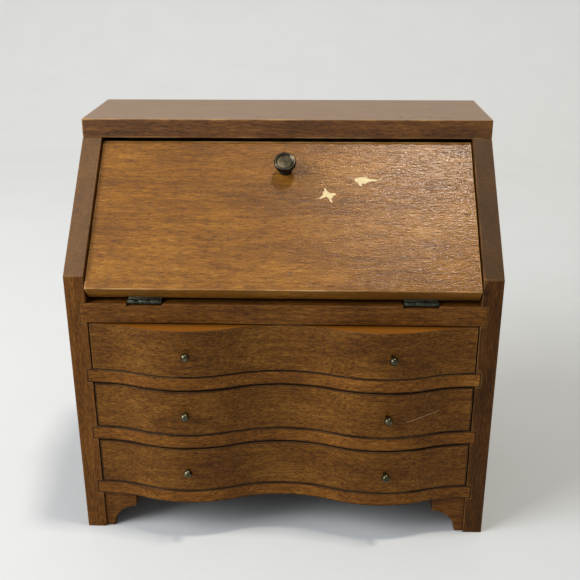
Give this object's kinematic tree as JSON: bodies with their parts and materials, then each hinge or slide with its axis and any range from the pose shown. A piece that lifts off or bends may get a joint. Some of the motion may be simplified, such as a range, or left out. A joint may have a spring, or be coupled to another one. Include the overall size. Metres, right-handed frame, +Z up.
{
  "type": "miniature slant-front desk with drawers",
  "caption": "Doll's house slant-front writing desk: hinged fall lid over pigeonholes, above oxbow-fronted drawers with small pin knobs, on low bracket feet.",
  "frame": {"origin": "under the middle of the whole desk, on the surface that it stands on", "axes": "+X to the right along the width, +Y to the back, +Z up; the drawers and the lid open towards -Y"},
  "size_m": [0.112, 0.0702, 0.111],
  "materials": {
    "case_wood": "orange-brown stained hardwood under worn shellac, darker on the side panels",
    "lid_wood": "stained hardwood with fine grain along the lid, satin, worn pale along its lower edge",
    "drawer_front_wood": "mottled brown stained hardwood, satin",
    "inner_wood": "thin plain hardwood, barely finished",
    "drawer_knob_brass": "tarnished brass",
    "lid_knob_bronze": "antique bronze, dark in its hollows and bright on its rim",
    "hinge_metal": "dull dark brass",
    "brad_steel": "dull steel"
  },
  "bodies": {
    "case": {"back_panel": "inner_wood", "back_panel_brads": "brad_steel", "base_shelf": "case_wood", "desk_board": "case_wood", "desk_leaf_nails": "hinge_metal", "gallery_partition_1": "inner_wood", "gallery_partition_2": "inner_wood", "gallery_partition_3": "inner_wood", "gallery_partition_4": "inner_wood", "gallery_shelf": "inner_wood", "left_foot_bracket": "case_wood", "left_hinge_desk_leaf": "hinge_metal", "left_hinge_pin": "hinge_metal", "left_side": "case_wood", "lid_stop": "inner_wood", "lower_shelf": "case_wood", "right_foot_bracket": "case_wood", "right_hinge_desk_leaf": "hinge_metal", "right_hinge_pin": "hinge_metal", "right_side": "case_wood", "top_board": "case_wood", "upper_shelf": "case_wood"},
    "lid": {"lid": "lid_wood", "lid_knob": "lid_knob_bronze", "lid_knob_screw": "hinge_metal", "lid_leaf_nails": "hinge_metal", "left_hinge_lid_leaf": "hinge_metal", "right_hinge_lid_leaf": "hinge_metal"},
    "upper_drawer": {"upper_drawer_back": "inner_wood", "upper_drawer_bottom": "inner_wood", "upper_drawer_front": "drawer_front_wood", "upper_drawer_left_knob": "drawer_knob_brass", "upper_drawer_left_side": "inner_wood", "upper_drawer_right_knob": "drawer_knob_brass", "upper_drawer_right_side": "inner_wood"},
    "middle_drawer": {"middle_drawer_back": "inner_wood", "middle_drawer_bottom": "inner_wood", "middle_drawer_front": "drawer_front_wood", "middle_drawer_left_knob": "drawer_knob_brass", "middle_drawer_left_side": "inner_wood", "middle_drawer_right_knob": "drawer_knob_brass", "middle_drawer_right_side": "inner_wood"},
    "lower_drawer": {"lower_drawer_back": "inner_wood", "lower_drawer_bottom": "inner_wood", "lower_drawer_front": "drawer_front_wood", "lower_drawer_left_knob": "drawer_knob_brass", "lower_drawer_left_side": "inner_wood", "lower_drawer_right_knob": "drawer_knob_brass", "lower_drawer_right_side": "inner_wood"}
  },
  "joints": [
    {"name": "lid_hinge", "type": "hinge", "parent": "case", "child": "lid", "pos_m": [0, -0.02695, 0.06941], "axis": [1, 0, 0], "range_deg": [0, 136.6]},
    {"name": "upper_drawer_slide", "type": "slide", "parent": "case", "child": "upper_drawer", "axis": [0, -1, 0], "range_m": [0, 0.03]},
    {"name": "middle_drawer_slide", "type": "slide", "parent": "case", "child": "middle_drawer", "axis": [0, -1, 0], "range_m": [0, 0.03]},
    {"name": "lower_drawer_slide", "type": "slide", "parent": "case", "child": "lower_drawer", "axis": [0, -1, 0], "range_m": [0, 0.03]}
  ]
}
